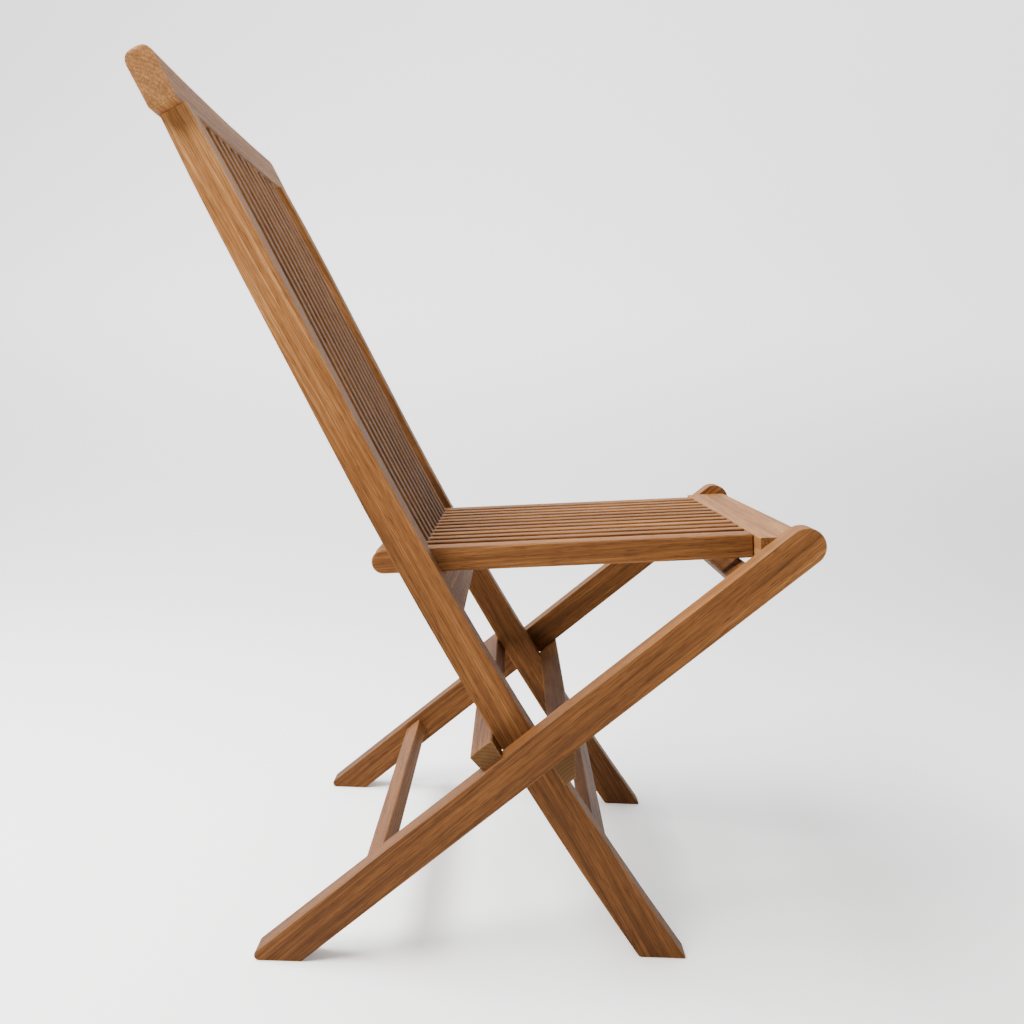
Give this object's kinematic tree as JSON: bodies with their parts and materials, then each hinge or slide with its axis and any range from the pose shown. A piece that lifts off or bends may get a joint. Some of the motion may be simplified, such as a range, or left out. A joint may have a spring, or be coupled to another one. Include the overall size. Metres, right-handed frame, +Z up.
{
  "type": "folding chair",
  "caption": "High-back slatted hardwood folding chair: stiles and legs cross like scissors, and the seat slides up behind the back as it folds flat.",
  "frame": {"origin": "on the floor, midway across the chair, under the middle of its depth", "axes": "+Z up, +X towards the front of the seat, +Y to the sitter's left"},
  "size_m": [0.6774, 0.484, 0.885],
  "materials": {
    "oiled_wood": "oiled, satin",
    "pivot_steel": "satin"
  },
  "bodies": {
    "back_frame": {"left_stile": "oiled_wood", "right_stile": "oiled_wood", "top_rail": "oiled_wood", "lower_back_rail": "oiled_wood", "back_slat_1": "oiled_wood", "back_slat_2": "oiled_wood", "back_slat_3": "oiled_wood", "back_slat_4": "oiled_wood", "back_slat_5": "oiled_wood", "back_slat_6": "oiled_wood", "back_slat_7": "oiled_wood", "back_slat_8": "oiled_wood", "back_slat_9": "oiled_wood", "back_slat_10": "oiled_wood", "back_slat_11": "oiled_wood", "front_stretcher": "oiled_wood", "rear_stop_bar": "oiled_wood", "front_stop_bar": "oiled_wood"},
    "leg_frame": {"left_leg": "oiled_wood", "right_leg": "oiled_wood", "rear_stretcher": "oiled_wood", "upper_stretcher": "oiled_wood", "left_crossing_pin": "pivot_steel", "left_seat_pin": "pivot_steel", "left_crossing_washer": "pivot_steel", "left_seat_washer": "pivot_steel", "right_crossing_pin": "pivot_steel", "right_seat_pin": "pivot_steel", "right_crossing_washer": "pivot_steel", "right_seat_washer": "pivot_steel"},
    "seat": {"left_seat_rail": "oiled_wood", "right_seat_rail": "oiled_wood", "seat_crossbar": "oiled_wood", "front_board": "oiled_wood", "seat_slat_1": "oiled_wood", "seat_slat_2": "oiled_wood", "seat_slat_3": "oiled_wood", "seat_slat_4": "oiled_wood", "seat_slat_5": "oiled_wood", "seat_slat_6": "oiled_wood", "seat_slat_7": "oiled_wood", "seat_slat_8": "oiled_wood", "seat_slat_9": "oiled_wood", "seat_slat_10": "oiled_wood"}
  },
  "joints": [
    {"name": "leg_fold", "type": "hinge", "parent": "back_frame", "child": "leg_frame", "pos_m": [0.058, 0, 0.2147], "axis": [0, -1, 0], "range_deg": [0, 74]},
    {"name": "seat_fold", "type": "hinge", "parent": "leg_frame", "child": "seat", "pos_m": [0.31326, 0, 0.43503], "axis": [0, 1, 0], "range_deg": [0, 127.5]}
  ],
  "couplings": [
    {"joint": "seat_fold", "follows": "leg_fold", "ratio": 1.72}
  ]
}
